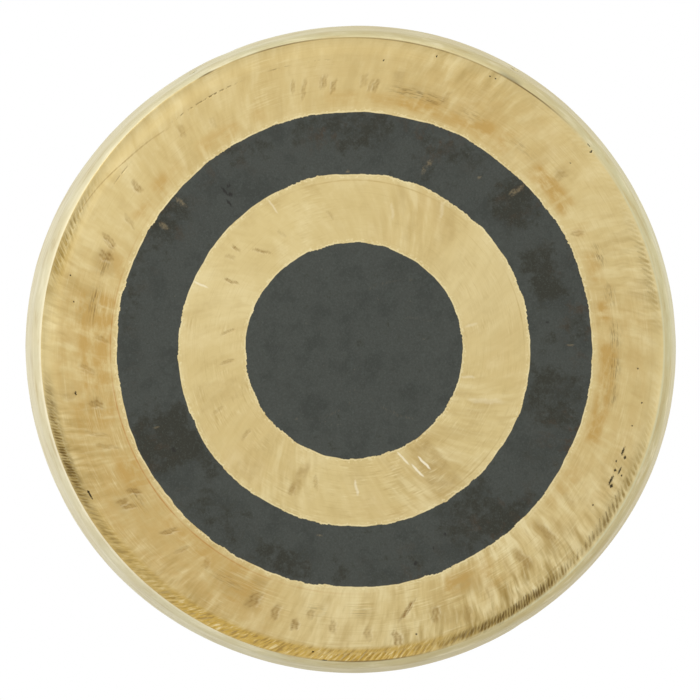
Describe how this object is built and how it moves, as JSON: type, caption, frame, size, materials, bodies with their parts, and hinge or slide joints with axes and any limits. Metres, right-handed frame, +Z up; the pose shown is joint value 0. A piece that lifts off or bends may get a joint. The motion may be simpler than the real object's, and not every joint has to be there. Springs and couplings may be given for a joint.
{
  "type": "gong",
  "caption": "Large hand-hammered bronze gong: shallow domed face with dark disc and dark ring between scraped bright bands, rim turned back, two hanging holes in the rim.",
  "frame": {"origin": "on the gong's axis, midway between the middle of the struck face and the rim's free edge", "axes": "+Y along the axis from the struck face towards the open back, +Z up when the gong hangs from its two holes, +X to the right seen from the front"},
  "size_m": [0.7618, 0.061, 0.7618],
  "materials": {
    "gong_bronze": "hand-hammered bronze, scraped bright on a lathe in rings, with the dark oxide skin of the forging left on a disc and a ring"
  },
  "bodies": {
    "root": {"gong": "gong_bronze"}
  },
  "joints": []
}
